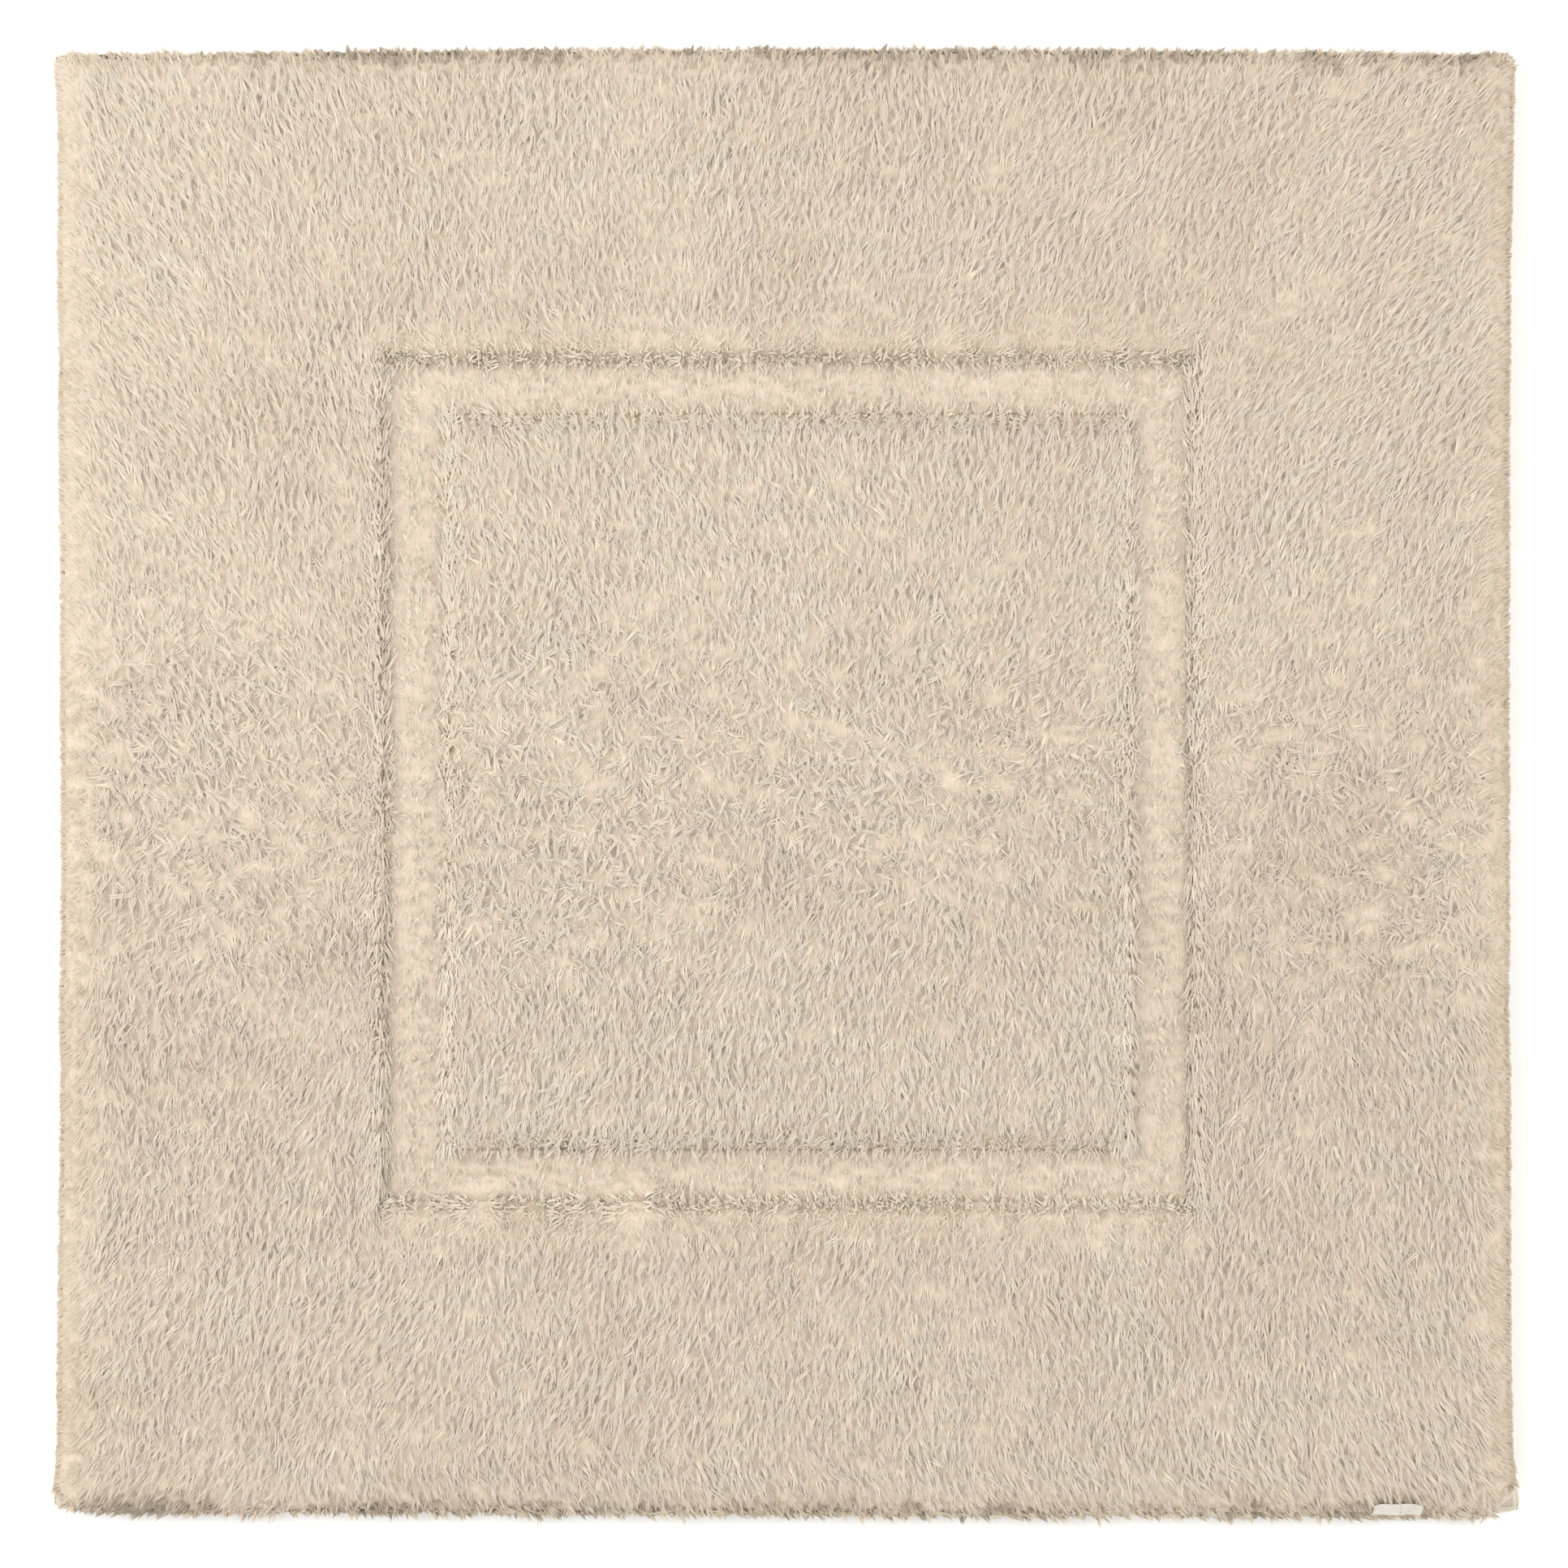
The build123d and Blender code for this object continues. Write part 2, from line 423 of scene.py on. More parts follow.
def latex_shape(points):
    ribs = RIB_HEIGHT * (0.5 - 0.5 * np.cos(2 * math.pi * points[:, 0] / RIB_PITCH))
    points[:, 2] = np.where(points[:, 2] > 0.5, CLOTH_BOTTOM, ribs)
    return points


CLOTH_CELLS = (120, 120)
LATEX_CELLS = (4 * 2 * LATEX[0] / RIB_PITCH, 24)      # four to each rib, across the ribs
cloth = piece_from("cloth_ground", flat_block(MAT - FOLD, CLOTH_CELLS), cloth_shape,
                   CLOTH_FINISH, ["backing_cloth"])
latex = piece_from("latex_back", flat_block(LATEX, LATEX_CELLS), latex_shape,
                   LATEX_FINISH, ["latex_coat"])

# %% [markdown]
# ## The hems
# All round, the cloth is folded under and sewn down, so the edge of the mat is a soft round fold and not
# a cut. A hem is a band of constant section, so its section is drawn once and pulled along. The fold is
# spun from one point. The underside dips where the seam pulls the cloth in. The four bands meet in
# mitres, which come from shortening each band by its own distance from the edge.

# %% Make the hems
seam_low, seam_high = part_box("hem_stitch_front")
SEAM_INSET = MAT[1] + (seam_low.y + seam_high.y) / 2
THREAD = seam_high.z - seam_low.z
OUTWARD = {"front": (0, -1), "right": (1, 0), "back": (0, 1), "left": (-1, 0)}
HEM_BEVEL = 0.0002           # of its inner edge
DIP, DIP_FLOOR = 0.0010, 0.0004       # half widths of the dip along the seam
HEM_UNDERSIDE = (            # distance in from the mat's edge, and height, along the hem's section
    (HEM_WIDTH, CLOTH_BOTTOM),
    (HEM_WIDTH, HEM_BEVEL),
    (HEM_WIDTH - HEM_BEVEL, 0),
    (SEAM_INSET + DIP, 0),
    (SEAM_INSET + DIP_FLOOR, THREAD / 2),
    (SEAM_INSET - DIP_FLOOR, THREAD / 2),
    (SEAM_INSET - DIP, 0),
    (FOLD, 0),
)
HEM_STEPS = 150
FOLD_STEPS = 8


def hem_band():
    """The hem as a band that runs from x 0 to 1, with the mat's edge at y 0."""
    band = bmesh.new()
    corners = [band.verts.new((0, -inset, height)) for inset, height in HEM_UNDERSIDE]
    for start, end in zip(corners[:-1], corners[1:]):
        band.edges.new((start, end))
    fold = bmesh.ops.spin(band, geom=[corners[-1]], cent=(0, -FOLD, FOLD), axis=(1, 0, 0),
                          angle=math.pi, steps=FOLD_STEPS)
    last = next(part for part in fold["geom_last"] if isinstance(part, bmesh.types.BMVert))
    inner = band.verts.new((0, -FOLD, CLOTH_BOTTOM))
    band.edges.new((last, inner))
    band.edges.new((inner, corners[0]))
    bmesh.ops.edgeloop_fill(band, edges=band.edges[:])
    pulled = bmesh.ops.extrude_face_region(band, geom=band.faces[:])
    far_end = [part for part in pulled["geom"] if isinstance(part, bmesh.types.BMVert)]
    bmesh.ops.translate(band, verts=far_end, vec=(1, 0, 0))
    for step in range(1, HEM_STEPS):
        whole = band.verts[:] + band.edges[:] + band.faces[:]
        bmesh.ops.bisect_plane(band, geom=whole, plane_co=(step / HEM_STEPS, 0, 0), plane_no=(1, 0, 0))
    bmesh.ops.recalc_face_normals(band, faces=band.faces)
    return band


def hem_shape(side):
    """A function that turns the band to a side of the mat and mitres its ends."""
    out_x, out_y = OUTWARD[side]

    def shape(points):
        share, inset = 2 * points[:, 0] - 1, -points[:, 1]
        if out_y:
            x, y = -out_y * share * (MAT[0] - inset), out_y * (MAT[1] - inset)
        else:
            x, y = out_x * (MAT[0] - inset), out_x * share * (MAT[1] - inset)
        return np.stack([x, y, points[:, 2]], axis=1)

    return shape


hems = [piece_from(f"hem_band_{side}", hem_band(), hem_shape(side), CLOTH_FINISH, [f"hem_{side}"])
        for side in OUTWARD]

# %% [markdown]
# ## The seams
# A line of lockstitch holds each hem. From below it shows as a row of short thread lengths, one between
# every two needle holes. Each is a stretched little sphere, and no two are quite alike.


# %% Sew the seams
STITCH_LENGTH = 0.0036
SEAM_PITCH = 0.005
dice = np.random.default_rng(5)


def seam_form(side):
    """A row of stitches in the groove of a hem, each at its CAD place."""
    low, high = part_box(f"hem_stitch_{side}")
    middle = (low + high) / 2
    length = max(high.x - low.x, high.y - low.y)
    count = round((length - STITCH_LENGTH) / SEAM_PITCH) + 1
    across = Matrix.Identity(4) if OUTWARD[side][1] else Matrix.Rotation(math.pi / 2, 4, "Z")
    thread = bmesh.new()
    for number in range(count):
        place = SEAM_PITCH * (number - (count - 1) / 2)
        slope, swell = dice.normal(0, 0.03), dice.uniform(0.9, 1.05)
        size = Matrix.Diagonal((STITCH_LENGTH * swell, THREAD, THREAD, 1))
        sewn = Matrix.Translation(middle) @ across @ Matrix.Translation((place, 0, 0))
        sewn = sewn @ Matrix.Rotation(slope, 4, "Z") @ size
        bmesh.ops.create_uvsphere(thread, u_segments=6, v_segments=5, radius=0.5, matrix=sewn)
    return thread


for side in OUTWARD:
    piece_from(f"seam_{side}", seam_form(side), lambda points: points, THREAD_FINISH,
               [f"hem_stitch_{side}"])

# %% [markdown]
# ## The label
# A blank tape is caught in the front hem's seam and turned up over the shoulder of the pile. It is a
# narrow sheet that follows one line in side view: flat on the cloth, up past the edge of the pile, and
# round over the shoulder. The line is drawn through a few points and softened by averaging, which is
# quicker than a simulation for a strip with a single bend, and a slight curl is added at its free end.

# %% Make the label
LABEL_THICKNESS = 0.0004
SHOULDER_RADIUS = 0.013
LABEL_TURN = 60           # degrees of the shoulder that it covers
SOFT_BEND = 0.0018
CURL = 0.0011             # of the free end's corners
WAVER = 0.0003
shoulder_y = -PILE[1] + SHOULDER_RADIUS
shoulder_z = CLOTH_TOP + HIGH_PILE - SHOULDER_RADIUS
arc = np.radians(180 - np.linspace(0, LABEL_TURN, 13))
arc_radius = SHOULDER_RADIUS + LABEL_THICKNESS / 2
line_y = np.concatenate([[label_high.y, shoulder_y - arc_radius], shoulder_y + arc_radius * np.cos(arc)])
line_z = np.concatenate([[CLOTH_TOP + LABEL_THICKNESS / 2] * 2, shoulder_z + arc_radius * np.sin(arc)])
run = np.concatenate([[0], np.cumsum(np.hypot(np.diff(line_y), np.diff(line_z)))])
LABEL_LENGTH = run[-1]
LABEL_MIDDLE = (label_low.x + label_high.x) / 2
print("label length in mm:", round(1000 * LABEL_LENGTH, 1))


def label_shape(points):
    """Lays a flat strip, 1 wide and 1 long, along the label's line."""
    share, travel = points[:, 0], points[:, 1] * LABEL_LENGTH

    def soft(values, where):
        near = [np.interp(np.clip(where + step, 0, LABEL_LENGTH), run, values) for step in
                np.linspace(-SOFT_BEND, SOFT_BEND, 7)]
        return np.mean(near, axis=0)

    y, z = soft(line_y, travel), soft(line_z, travel)
    step = 0.0002
    dy = soft(line_y, travel + step) - soft(line_y, travel - step)
    dz = soft(line_z, travel + step) - soft(line_z, travel - step)
    span = np.maximum(np.hypot(dy, dz), 1e-9)
    curl = CURL * points[:, 1] ** 6 * np.abs(share) ** 2
    curl += WAVER * np.sin(5 * share + 2) * points[:, 1] ** 2
    off = LABEL_THICKNESS * (points[:, 2] - 0.5) + curl
    x = LABEL_MIDDLE + share * (label_high.x - label_low.x) / 2
    return np.stack([x, y - off * dz / span, np.maximum(z + off * dy / span, CLOTH_TOP)], axis=1)


def strip_form(cells_across, cells_along):
    strip = flat_block((1, 0.5), (cells_across, cells_along))
    bmesh.ops.translate(strip, verts=strip.verts, vec=(0, 0.5, 0))
    return strip


label = piece_from("label_tape", strip_form(16, 40), label_shape, TAPE_FINISH, ["care_label"])

# %% [markdown]
# ## One end of yarn
# Each tuft is a bundle of yarn ends, and each end is a thin spike. It is made once, as a three-sided
# cone, and then laid hundreds of thousands of times. Three sides are enough, because an end is less
# than a millimetre wide and smooth shading rounds it. The ends at the mat's edge and at the frame's
# walls are seen whole, so their spike is cut into two levels, which lets it bend.
#
# Particle hair would be the usual way to grow pile, but hair isn't a mesh and can't be exported as
# one. Copying one small mesh with array arithmetic gives real geometry in a few seconds.


# %% Make the patterns for an end of yarn
def yarn_end(levels):
    """A closed spike's points, as level (0 at the foot) and angle, and its faces."""
    spike = bmesh.new()
    bmesh.ops.create_cone(spike, cap_ends=True, segments=3, radius1=1, radius2=0, depth=1)
    bmesh.ops.remove_doubles(spike, verts=spike.verts, dist=1e-4)
    bmesh.ops.translate(spike, verts=spike.verts, vec=(0, 0, 0.5))
    for cut in range(1, levels):
        whole = spike.verts[:] + spike.edges[:] + spike.faces[:]
        bmesh.ops.bisect_plane(spike, geom=whole, plane_co=(0, 0, cut / levels), plane_no=(0, 0, 1))
    bmesh.ops.recalc_face_normals(spike, faces=spike.faces)
    spike.verts.index_update()
    points = np.array([tuple(v.co) for v in spike.verts])
    faces = [[v.index for v in face.verts] for face in spike.faces]
    spike.free()
    return np.rint(points[:, 2] * levels).astype(int), np.arctan2(points[:, 1], points[:, 0]), faces


STRAIGHT_END = yarn_end(1)
BENT_END = yarn_end(2)
print("corners in a straight and a bent end:", len(STRAIGHT_END[0]), len(BENT_END[0]))


# %% [markdown]
# ## Laying the ends
# An end follows a curve with three handles: its root in the cloth, a knee straight above, and its tip.
# For each level of the pattern the curve gives a middle point and a direction, and the pattern's
# corners are set around it. The ends are a little wider than they are thick, as loosely spun yarn is.
#
# Cotton pile is so fine and matt that it shades as one soft surface. So the normals of an end hardly
# follow its own sides: they turn towards the open air around its lock, as a breeze would leave it.
#
# A UV map carries two facts for the material: how light this end is (across), with painted shade at the
# mat's edge and by the frame's side walls, and how far along the end the point is (up), along which the
# colour is painted light from deep to tip. All the colour of the pile comes from these two.

# %% Lay many ends along their curves
STRAIGHT_PLACES, STRAIGHT_WIDTHS = np.array([0, 1]), np.array([1, 0])      # one number for each level
BENT_PLACES, BENT_WIDTHS = np.array([0, 0.6, 1]), np.array([0.9, 1, 0])
TIP_PART = 0.6            # of an end's curve, over which its colour, painted light, goes from deep to tip
SOFTNESS = 0.9            # how far an end's normals turn from its own round towards the open air
THICKNESS = 0.7           # of an end, as a share of its width


def lay_ends(pattern, places, widths, root, knee, tip, air, start, radius, shade):
    """Points, face corners, face sizes, UVs and normals of one copy of the pattern for each root."""
    level, angle, faces = pattern
    t = start[:, None] + (1 - start[:, None]) * places[level][None, :]
    t3 = t[:, :, None]
    root, knee, tip = root[:, None, :], knee[:, None, :], tip[:, None, :]
    middle = (1 - t3) ** 2 * root + 2 * t3 * (1 - t3) * knee + t3**2 * tip
    along = 2 * (1 - t3) * (knee - root) + 2 * t3 * (tip - knee)
    along /= np.linalg.norm(along, axis=2, keepdims=True)
    bend = tip - knee
    side = np.stack([-bend[:, :, 1], bend[:, :, 0], np.zeros_like(bend[:, :, 0])], axis=2)
    side /= np.maximum(np.linalg.norm(side, axis=2, keepdims=True), 1e-9)
    side = side - (side * along).sum(axis=2, keepdims=True) * along
    side /= np.maximum(np.linalg.norm(side, axis=2, keepdims=True), 1e-9)
    other = np.cross(along, side)
    reach = (radius[:, None] * widths[level][None, :])[:, :, None]
    outward = np.cos(angle)[None, :, None] * side + THICKNESS * np.sin(angle)[None, :, None] * other
    points = middle + reach * outward
    at_tip = (level == level.max())[None, :, None]
    open_air = air[:, None, :]
    normals = (1 - SOFTNESS) * np.where(at_tip, along, outward) + SOFTNESS * open_air

    per_end = len(level)
    corners = np.array([corner for face in faces for corner in face])
    sizes = np.array([len(face) for face in faces])
    first = np.arange(len(shade)) * per_end
    loops = (first[:, None] + corners[None, :]).ravel()
    tip_share = np.clip((t - (1 - TIP_PART)) / TIP_PART, 0.01, 0.99)
    uv = np.stack([np.broadcast_to(shade[:, None], t.shape), tip_share], axis=2)
    sizes = np.tile(sizes, len(shade))
    return points.reshape(-1, 3), loops, sizes, uv.reshape(-1, 2), normals.reshape(-1, 3)


def join_laid(name, laid):
    """One mesh object from several results of lay_ends."""
    points = np.concatenate([part[0] for part in laid])
    shifts = np.cumsum([0] + [len(part[0]) for part in laid[:-1]])
    loops = np.concatenate([part[1] + shift for part, shift in zip(laid, shifts)])
    sizes = np.concatenate([part[2] for part in laid])
    uv = np.concatenate([part[3] for part in laid])
    normals = np.concatenate([part[4] for part in laid])
    normals /= np.linalg.norm(normals, axis=1, keepdims=True)
    mesh = bpy.data.meshes.new(name)
    mesh.vertices.add(len(points))
    mesh.vertices.foreach_set("co", settle(points).astype(np.float32).ravel())
    mesh.loops.add(len(loops))
    mesh.loops.foreach_set("vertex_index", loops.astype(np.int32))
    mesh.polygons.add(len(sizes))
    starts = np.concatenate([[0], np.cumsum(sizes)[:-1]])
    mesh.polygons.foreach_set("loop_start", starts.astype(np.int32))
    mesh.update(calc_edges=True)
    mesh.shade_smooth()
    layer = mesh.uv_layers.new(name="OFBake")
    layer.uv.foreach_set("vector", uv[loops].astype(np.float32).ravel())
    mesh.normals_split_custom_set_from_vertices(normals)
    piece = bpy.data.objects.new(name, mesh)
    bpy.context.scene.collection.objects.link(piece)
    print(name, "ends' triangles:", int((sizes - 2).sum()))
    return piece


# %% [markdown]
# ## Where the tufts stand
# A tufting machine stitches in straight rows. Here the rows run from front to back, 4 mm apart, with a
# stitch every 4.5 mm, and every other row starts half a stitch later. A little jitter is added,
# because the needles wander in the cloth. The tufts reach nearly to the mat's edge, and leave the cloth
# bare at the very corners, where it is folded twice. The front right corner is the barest.


# %% Set out the tufts
ROW_PITCH = 0.004
STITCH = 0.0045
NEEDLE_WANDER = 0.00035
PILE_ROUND = 0.003
EDGE_STITCH = 0.0028
EDGE_ROW_INSET = 0.0012
WALL_ROW_INSET = 0.0008
FIRST_TUFT = 0.0004            # from the edge of the tufted ground to the outermost tufts
BARE_CORNERS = {               # how far along the front or back, and along the side, the cloth is bare
    (1, -1): (0.0135, 0.0165),
    (-1, -1): (0.009, 0.011),
    (-1, 1): (0.012, 0.006),
    (1, 1): (0.009, 0.006),
}
dice = np.random.default_rng(7)


def pile_depth(x, y):
    """How far in from the edge of the tufted ground each point lies, and the way straight out of it."""
    depth, out_x, out_y = depth_inside(x, y, PILE, PILE_ROUND)
    for (side_x, side_y), (width, height) in BARE_CORNERS.items():
        slope = math.hypot(width, height)
        gap = (MAT[0] - side_x * x) / width + (MAT[1] - side_y * y) / height - 1
        gap *= width * height / slope
        out_x = np.where(gap < depth, side_x * height / slope, out_x)
        out_y = np.where(gap < depth, side_y * width / slope, out_y)
        depth = np.minimum(gap, depth)
    return depth, out_x, out_y


row = np.arange(-int(PILE[0] / ROW_PITCH) - 1, int(PILE[0] / ROW_PITCH) + 2)
stitch = np.arange(-int(PILE[1] / STITCH) - 1, int(PILE[1] / STITCH) + 2)
row_of, stitch_of = (grid.ravel() for grid in np.meshgrid(row, stitch, indexing="ij"))
tuft_x = row_of * ROW_PITCH + dice.normal(0, NEEDLE_WANDER, len(row_of))
tuft_y = (stitch_of + 0.5 * (row_of % 2)) * STITCH + dice.normal(0, NEEDLE_WANDER, len(row_of))

# One more row follows the mat's edge all round, so that it is full wherever the rows end, and another
# stands against the outer wall of the frame.
for reach in (PILE - EDGE_ROW_INSET, FRAME - WALL_ROW_INSET):
    along_x, along_y = (np.arange(-half, half, EDGE_STITCH) for half in reach)
    for side in (-1, 1):
        tuft_x = np.concatenate([tuft_x, along_x, np.full(len(along_y), side * reach[0])])
        tuft_y = np.concatenate([tuft_y, np.full(len(along_x), side * reach[1]), along_y])

past_frame = depth_inside(tuft_x, tuft_y, FRAME)[0]
past_centre = depth_inside(tuft_x, tuft_y, CENTRE)[0]

# Nothing grows up through the label: its place is left free from behind the edge row to past its fold.
LABEL_HALF = 0.0105
LABEL_PLACE = (-PILE[1] + 0.0020, label_low.y + 0.0066)
behind_label = np.abs(tuft_x - LABEL_MIDDLE) < LABEL_HALF
behind_label &= (tuft_y > LABEL_PLACE[0]) & (tuft_y < LABEL_PLACE[1])
in_border = (pile_depth(tuft_x, tuft_y)[0] > FIRST_TUFT) & (past_frame < 0) & ~behind_label
in_frame = (past_frame >= 0) & (past_centre < 0)
in_centre = past_centre >= 0
print("tufts in border, frame and centre:", in_border.sum(), in_frame.sum(), in_centre.sum())


# %% [markdown]
# ## Which way the pile leans
# Pile keeps the direction it was last stroked in. In the back half the tips point away and in the front
# half they point forward. Between the two there is no clean parting: the locks lie every way and look
# curly. Across the mat the direction turns a little to the left or right, and along the front edge it
# lies slanted.

# %% The combing of the pile
LEAN = 0.0098             # how far a high tip stands from above its root
PARTING_WIDTH = 0.2       # of the muddle, as a share of half the mat's depth
MUDDLE_TURN = 42          # degrees
WHORLS = ((-0.127, -0.169), (-0.062, -0.172))
WHORL_SIZE = 0.014        # of the places where the pile parts all round and the locks lie like a star


def combing(x, y):
    """The sideways lean of a lock at each point, as x and y lengths."""
    u, v = x / MAT[0], y / MAT[1]
    angle = np.clip(5 + 7 * u + 20 * u * v, -22, 24)
    angle += 16 * waves(x, y, 0.045, 11) + 11 * waves(x, y, 0.012, 10)
    front = ease((-0.86 - v) / 0.08)
    front_angle = -27 + 57 * ease((-0.5 - u) / 0.3)
    angle = angle * (1 - front) + front_angle * front
    parting = v + 0.02 + 0.12 * waves(x, y, 0.055, 12)
    muddle = np.exp(-((parting / PARTING_WIDTH) ** 2))
    angle = np.radians(angle + MUDDLE_TURN * muddle * dice.normal(0, 1, len(x)))
    sense = np.where(parting + 0.14 * dice.normal(0, 1, len(x)) > 0, 1, -1)
    reach = LEAN * sense * (1 + 0.15 * waves(x, y, 0.03, 13))
    lean_x, lean_y = reach * np.sin(angle), reach * np.cos(angle)
    for whorl_x, whorl_y in WHORLS:
        away_x, away_y = x - whorl_x, y - whorl_y
        far = np.maximum(np.hypot(away_x, away_y), 1e-6)
        hold = np.exp(-((far / WHORL_SIZE) ** 2))
        lean_x += hold * (LEAN * away_x / far - lean_x)
        lean_y += hold * (LEAN * away_y / far - lean_y)
    return lean_x, lean_y


# %% [markdown]
# ## Tufts, locks and ends
# The ends of a tuft don't stand evenly: they cling together in a few locks, which point their own way
# and end in a common tip. That is what gives fleece its flecks. So every tuft is first divided into
# locks, each with its own lean, height and shade, and every lock into ends.

# %% Divide the tufts into locks and ends
LOCKS_PER_TUFT = 3
ENDS_PER_LOCK = 6
ROOT_SPREAD = 0.0021
LOCK_SPREAD = 0.0021
TIP_SPREAD = 0.0011
ROOT_LOCKING = 0.4        # how much of a lock's offset its roots share
END_RADIUS = 0.00047
HIDDEN_SHARE = 0.55       # of an end, down in the pile, that isn't made where nothing can show it
LOCK_ROUND = 0.22         # how much a lock's shading rounds it


def scatter(count, radius):
    """Random places in a disc."""
    angle, reach = dice.uniform(0, 2 * math.pi, count), radius * np.sqrt(dice.uniform(0, 1, count))
    return reach * np.cos(angle), reach * np.sin(angle)


def clump(values, share):
    """Tips drawn by a share towards the middle of their own lock."""
    middle = values.reshape(-1, ENDS_PER_LOCK).mean(axis=1)
    return values + share * (np.repeat(middle, ENDS_PER_LOCK) - values)


def turn(x, y, degrees):
    """The given lengths turned about the vertical."""
    c, s = np.cos(np.radians(degrees)), np.sin(np.radians(degrees))
    return x * c - y * s, x * s + y * c


def free_ends(x, y, height, shade, lean_share, across_share, wander):
    """Roots, tips and shades of all ends of the tufts at x and y, before anything holds them."""
    to_locks = lambda values: np.repeat(values, LOCKS_PER_TUFT)
    to_ends = lambda values: np.repeat(values, ENDS_PER_LOCK)
    locks = len(x) * LOCKS_PER_TUFT
    count = locks * ENDS_PER_LOCK
    lock_dx, lock_dy = scatter(locks, LOCK_SPREAD)
    lean_x, lean_y = turn(*combing(to_locks(x), to_locks(y)), dice.normal(0, wander, locks))
    stretch = lean_share * dice.uniform(0.4, 1.2, locks)
    lock_height = to_locks(height) + dice.normal(0, 0.0007, locks)
    lock_shade = to_locks(shade) + dice.normal(0, 0.075, locks)

    root_dx, root_dy = scatter(count, ROOT_SPREAD)
    tip_dx, tip_dy = scatter(count, TIP_SPREAD)
    reach = to_ends(stretch) + lean_share * dice.normal(0, 0.1, count)
    root_x = to_ends(to_locks(x) + ROOT_LOCKING * across_share * lock_dx) + across_share * root_dx
    root_y = to_ends(to_locks(y) + ROOT_LOCKING * lock_dy) + root_dy
    tip_x = to_ends(to_locks(x) + across_share * lock_dx) + tip_dx + to_ends(lean_x) * reach
    tip_y = to_ends(to_locks(y) + lock_dy) + tip_dy + to_ends(lean_y) * reach
    tip_z = to_ends(lock_height) + dice.normal(0, 0.0005, count) - 0.0006
    tilt = LOCK_ROUND * np.stack([to_ends(lock_dx), to_ends(lock_dy)], axis=1) / LOCK_SPREAD
    shade = np.clip(to_ends(lock_shade) + dice.normal(0, 0.05, count), 0.16, 0.98)
    return root_x, root_y, tip_x, tip_y, tip_z, tilt, shade


def handles(root_x, root_y, tip_x, tip_y, tip_z, knee_share):
    """Root, knee and tip points of ends that are rooted in the cloth."""
    root = np.stack([root_x, root_y, np.full(len(root_x), CLOTH_TOP)], axis=1)
    tip = np.stack([tip_x, tip_y, CLOTH_TOP + tip_z], axis=1)
    return root, root + (tip - root) * np.array(knee_share), tip


# %% [markdown]
# ## The edge of the mat
# Near the mat's edge nothing holds the tufts from outside, so they lie combed outwards and round the
# edge over. Along the front and back some locks sink and others stand out in wisps, while the sides stay
# neat. Along the front and back the locks are painted darker, the sunk ones darkest, as painted shade for
# the gaps between them, where one looks along them into the pile. The sides are painted a little darker
# too, as painted shade that tones down the low side light on the edge.

# %% Comb the pile over the mat's edge
EDGE_COMB = 0.0085        # how far the ends at the edge lie outwards
EDGE_WIDTH = 0.019        # of the strip where the edge has a say
EDGE_HOLD = 0.003         # of its outermost part, where the edge alone decides
EDGE_ROUND = 0.0105
EDGE_TURN = {"side": 0.06, "end": 0.2}     # how far the shading turns outwards at the edge
EDGE_WHOLE = 0.005        # ends this near the edge are seen, and made, down to the cloth
SQUARE_ON = 0.97          # the way out of the mat is this nearly square to a side, except at the corners
SUNK_BELOW = -0.35        # locks that draw a lower number than this have sunk, along the front and back, and are painted darkest
SUNK_DROP = 0.0022
PAINTED_SHADE_WIDTH = 0.018       # of the strip at the edge where the locks are painted darker, as painted shade
OVERHANG = {"front": 0.0022, "back": 0.0017, "left": 0.0014, "right": 0.0012, "corner": 0.0004}


def for_each_lock(count):
    """A normal random number for each of count ends, the same for all ends of a lock."""
    return np.repeat(dice.normal(0, 1, count // ENDS_PER_LOCK), ENDS_PER_LOCK)


def reach_past_edge(out_x, out_y):
    """How far past the tufted ground the ends may reach: in wisps at the front, neat at the sides."""
    across, along = np.abs(out_x) > SQUARE_ON, np.abs(out_y) > SQUARE_ON
    over = np.where(across, np.where(out_x > 0, OVERHANG["right"], OVERHANG["left"]), OVERHANG["corner"])
    over = np.where(along, np.where(out_y > 0, OVERHANG["back"], OVERHANG["front"]), over)
    ragged = np.where(along, np.where(out_y > 0, 0.0009, 0.0015), 0.0003)
    within_lock = np.where(along, dice.uniform(-0.0012, 0.0002, len(out_x)), 0)
    return over + ragged * for_each_lock(len(out_x)) + within_lock


